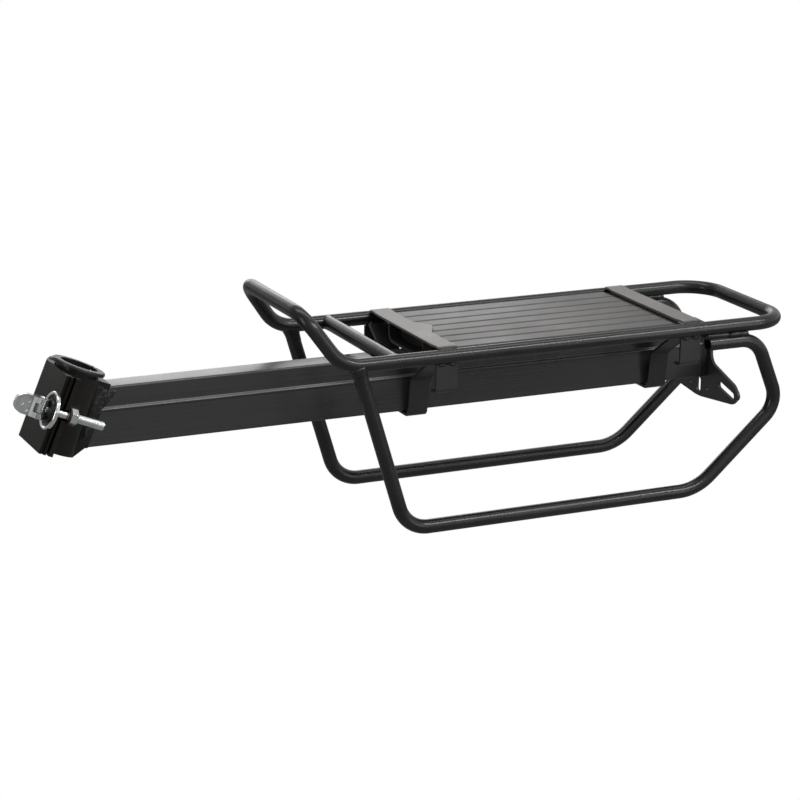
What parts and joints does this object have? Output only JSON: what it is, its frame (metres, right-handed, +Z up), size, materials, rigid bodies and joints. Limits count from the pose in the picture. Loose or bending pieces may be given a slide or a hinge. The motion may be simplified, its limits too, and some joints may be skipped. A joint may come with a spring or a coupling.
{
  "type": "seat post mounted bicycle rear rack",
  "caption": "Black beam rack clamped to a seat post by a quick release, with a round bar carrier frame, ribbed deck, side loops and a rear lamp bracket.",
  "frame": {"origin": "on the flat top face of the clamp body, in the middle of the wall behind the seat post bore", "axes": "+X to the rear of the bicycle along the beam, +Z up, the left side of the bicycle is -Y"},
  "size_m": [0.5727, 0.129, 0.1653],
  "materials": {
    "bar_black": "satin black powder coat",
    "sheet_black": "satin black powder coat",
    "plate_black": "satin black, brighter sheen",
    "bracket_black": "satin black paint on steel sheet",
    "beam_black": "black anodised extrusion",
    "deck_black": "ribbed black anodised plate",
    "clamp_black": "black painted casting",
    "shim_black": "moulded black",
    "plug_black": "moulded black",
    "polished_steel": "polished plating",
    "zinc_steel": "bright zinc plating",
    "red_fibre": "dark red-brown fibre washer"
  },
  "bodies": {
    "beam_and_clamp": {"beam": "beam_black", "beam_end_plug": "plug_black", "clamp_body": "clamp_black", "clamp_hinge_pin": "zinc_steel", "seatpost_shim": "shim_black", "qr_skewer": "zinc_steel", "qr_cam_pin": "zinc_steel", "qr_nut_washer": "red_fibre", "lamp_bracket": "bracket_black", "lamp_bracket_screw": "zinc_steel"},
    "carrier": {"top_frame": "bar_black", "side_loop_left": "bar_black", "side_loop_right": "bar_black", "front_cross_tube": "bar_black", "front_cross_plate": "plate_black", "rear_cross_plate": "plate_black", "deck_plate": "deck_black", "front_saddle": "sheet_black", "rear_saddle": "sheet_black", "front_yoke": "sheet_black", "rear_yoke": "sheet_black", "rail_tab_front_left": "sheet_black", "rail_tab_front_right": "sheet_black", "rail_tab_rear_left": "sheet_black", "rail_tab_rear_right": "sheet_black"},
    "jaw": {"clamp_jaw": "clamp_black", "qr_dished_washer": "polished_steel"},
    "lever": {"qr_lever": "polished_steel"},
    "nut": {"qr_nut": "zinc_steel"}
  },
  "joints": [
    {"name": "qr_lever_swing", "type": "hinge", "parent": "beam_and_clamp", "child": "lever", "pos_m": [-0.05123, -0.03, -0.00633], "axis": [-0.3795, 0, -0.9252], "range_deg": [0, 90]},
    {"name": "jaw_close", "type": "hinge", "parent": "beam_and_clamp", "child": "jaw", "pos_m": [-0.03523, 0.0215, -0.01474], "axis": [0.3795, 0, 0.9252], "range_deg": [0, 1.2]},
    {"name": "nut_spin", "type": "hinge", "parent": "beam_and_clamp", "child": "nut", "pos_m": [-0.02977, -0.03, -0.01514], "axis": [0.9252, 0, -0.3795], "continuous": true},
    {"name": "carrier_slide", "type": "slide", "parent": "beam_and_clamp", "child": "carrier", "axis": [1, 0, 0], "range_m": [-0.03, 0.02]}
  ],
  "couplings": [
    {"joint": "jaw_close", "follows": "qr_lever_swing", "ratio": 0.0133}
  ]
}
